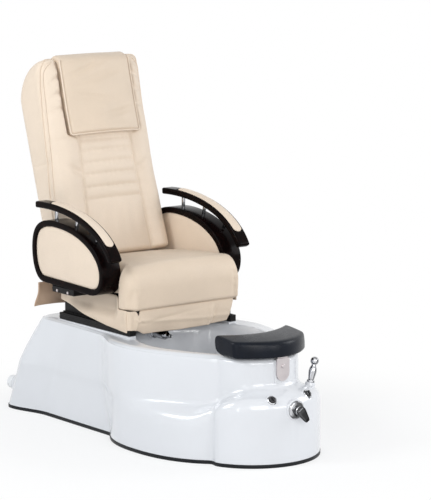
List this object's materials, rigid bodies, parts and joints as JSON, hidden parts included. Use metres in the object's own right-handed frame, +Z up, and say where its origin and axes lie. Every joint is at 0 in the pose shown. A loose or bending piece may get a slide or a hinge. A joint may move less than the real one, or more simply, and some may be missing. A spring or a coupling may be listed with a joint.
{
  "type": "pedicure spa chair",
  "caption": "Reclining armchair with head pillow, sliding on a moulded water-jet foot bath with footrest, mixer, knobs and hand shower.",
  "frame": {"origin": "on the floor, at the middle of the chair's box across X and along Y", "axes": "+Z up; the sitter faces -Y and sits across X, with the sitter's left towards +X"},
  "size_m": [0.715, 1.5906, 1.4475],
  "materials": {
    "gelcoat": "glossy gelcoat",
    "trim_rubber": "satin black edging",
    "white_plastic": "moulded white",
    "chrome": "polished",
    "steel": "brushed",
    "footrest_skin": "satin skinned foam",
    "pump_housing": "matte",
    "black_plastic": "gloss black",
    "black_paint": "satin black",
    "leather_cream": "grained cream upholstery",
    "leather_tan": "grained tan upholstery",
    "lacquer": "near-black gloss lacquer"
  },
  "bodies": {
    "base": {"tub_shell": "gelcoat", "basin_bowl": "gelcoat", "base_trim": "trim_rubber", "drain_outlet": "white_plastic", "basin_spout": "chrome", "drain_body": "steel", "circulation_pump": "pump_housing", "mixer_plate": "chrome", "shower_cup": "chrome", "footrest_plate": "steel", "footrest_screw": "steel", "jet_cover_right": "white_plastic", "jet_cover_left": "white_plastic", "knob_bezel_right": "chrome", "knob_bezel_left": "chrome", "slide_rail_right": "black_paint", "slide_rail_left": "black_paint"},
    "seat": {"seat_frame": "black_paint", "seat_cushion": "leather_cream", "front_apron": "leather_cream", "rear_flap": "leather_tan", "seat_rail_right": "black_paint", "seat_skirt_right": "leather_cream", "arm_ring_right": "lacquer", "arm_insert_right": "leather_cream", "arm_rail_right": "lacquer", "arm_pad_right": "leather_cream", "arm_bracket_right": "black_paint", "hinge_pin_right": "steel", "arm_post_right_1": "chrome", "arm_post_right_2": "chrome", "arm_post_right_3": "chrome", "bracket_bolt_right_1": "steel", "bracket_bolt_right_2": "steel", "seat_rail_left": "black_paint", "seat_skirt_left": "leather_cream", "arm_ring_left": "lacquer", "arm_insert_left": "leather_cream", "arm_rail_left": "lacquer", "arm_pad_left": "leather_cream", "arm_bracket_left": "black_paint", "hinge_pin_left": "steel", "arm_post_left_1": "chrome", "arm_post_left_2": "chrome", "arm_post_left_3": "chrome", "bracket_bolt_left_1": "steel", "bracket_bolt_left_2": "steel"},
    "backrest": {"back_cushion": "leather_cream", "back_shell": "leather_cream", "back_hinge_right": "black_paint", "back_hinge_left": "black_paint"},
    "head_pillow": {"pillow": "leather_cream"},
    "footrest": {"footrest_blade": "steel", "footrest_pad": "footrest_skin"},
    "mixer_head": {"mixer_hub": "chrome"},
    "mixer_handle": {"mixer_lever": "chrome"},
    "air_knob": {"control_knob_right": "black_plastic"},
    "flow_knob": {"control_knob_left": "black_plastic"},
    "shower_handset": {"hand_shower": "chrome"},
    "stopper": {"drain_stopper": "chrome"}
  },
  "joints": [
    {"name": "seat_slide", "type": "slide", "parent": "base", "child": "seat", "axis": [0, 1, 0], "range_m": [-0.05, 0.1]},
    {"name": "back_recline", "type": "hinge", "parent": "seat", "child": "backrest", "pos_m": [0, 0.4853, 0.556], "axis": [-1, 0, 0], "range_deg": [0, 35]},
    {"name": "pillow_flip", "type": "hinge", "parent": "backrest", "child": "head_pillow", "pos_m": [0, 0.64538, 1.39601], "axis": [-1, 0, 0], "range_deg": [0, 100]},
    {"name": "footrest_height", "type": "slide", "parent": "base", "child": "footrest", "axis": [0, 0, 1], "range_m": [0, 0.04]},
    {"name": "mixer_swing", "type": "hinge", "parent": "base", "child": "mixer_head", "pos_m": [0, -0.7437, 0.212], "axis": [0, -1, 0], "range_deg": [-50, 50]},
    {"name": "mixer_lift", "type": "hinge", "parent": "mixer_head", "child": "mixer_handle", "pos_m": [-0.00742, -0.7763, 0.22387], "axis": [-0.848, 0, -0.5299], "range_deg": [0, 25]},
    {"name": "air_knob_turn", "type": "hinge", "parent": "base", "child": "air_knob", "pos_m": [-0.0855, -0.7057, 0.253], "axis": [-0.1961, -0.7287, 0.6561], "range_deg": [0, 270]},
    {"name": "flow_knob_turn", "type": "hinge", "parent": "base", "child": "flow_knob", "pos_m": [0.0855, -0.7057, 0.253], "axis": [0.1961, -0.7287, 0.6561], "range_deg": [0, 180]},
    {"name": "handset_lift", "type": "slide", "parent": "base", "child": "shower_handset", "axis": [0.2419, 0, 0.9703], "range_m": [0, 0.12]},
    {"name": "stopper_lift", "type": "slide", "parent": "base", "child": "stopper", "axis": [0, 0, 1], "range_m": [0, 0.012]}
  ]
}
